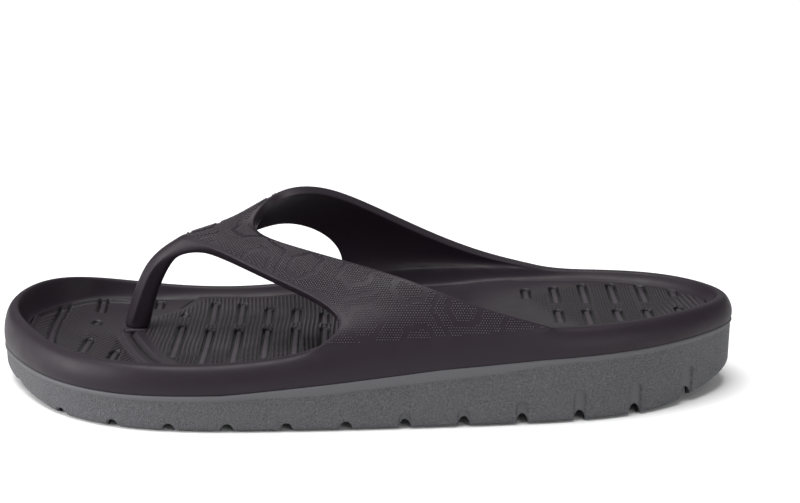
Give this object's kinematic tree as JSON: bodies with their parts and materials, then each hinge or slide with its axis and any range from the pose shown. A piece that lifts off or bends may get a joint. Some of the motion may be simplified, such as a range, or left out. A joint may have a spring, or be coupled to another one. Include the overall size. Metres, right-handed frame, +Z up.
{
  "type": "flip flop",
  "caption": "Left flip flop: moulded foam upper with a wide strap and toe post, a cupped ribbed footbed and a grooved outsole.",
  "frame": {"origin": "centre of the footprint on the ground, under the tread", "axes": "+X from toe to heel, +Y towards the inner side of the foot, +Z up"},
  "size_m": [0.2924, 0.1088, 0.0733],
  "materials": {
    "upper_foam": "black moulded foam with a satin skin, raised dots in hexagon fields on the strap",
    "footbed_foam": "black moulded foam with fine ribs and slots",
    "outsole_foam": "mid grey foam with a fine pebbled grain"
  },
  "bodies": {
    "root": {"upper": "upper_foam", "footbed": "footbed_foam", "outsole": "outsole_foam"}
  },
  "joints": []
}
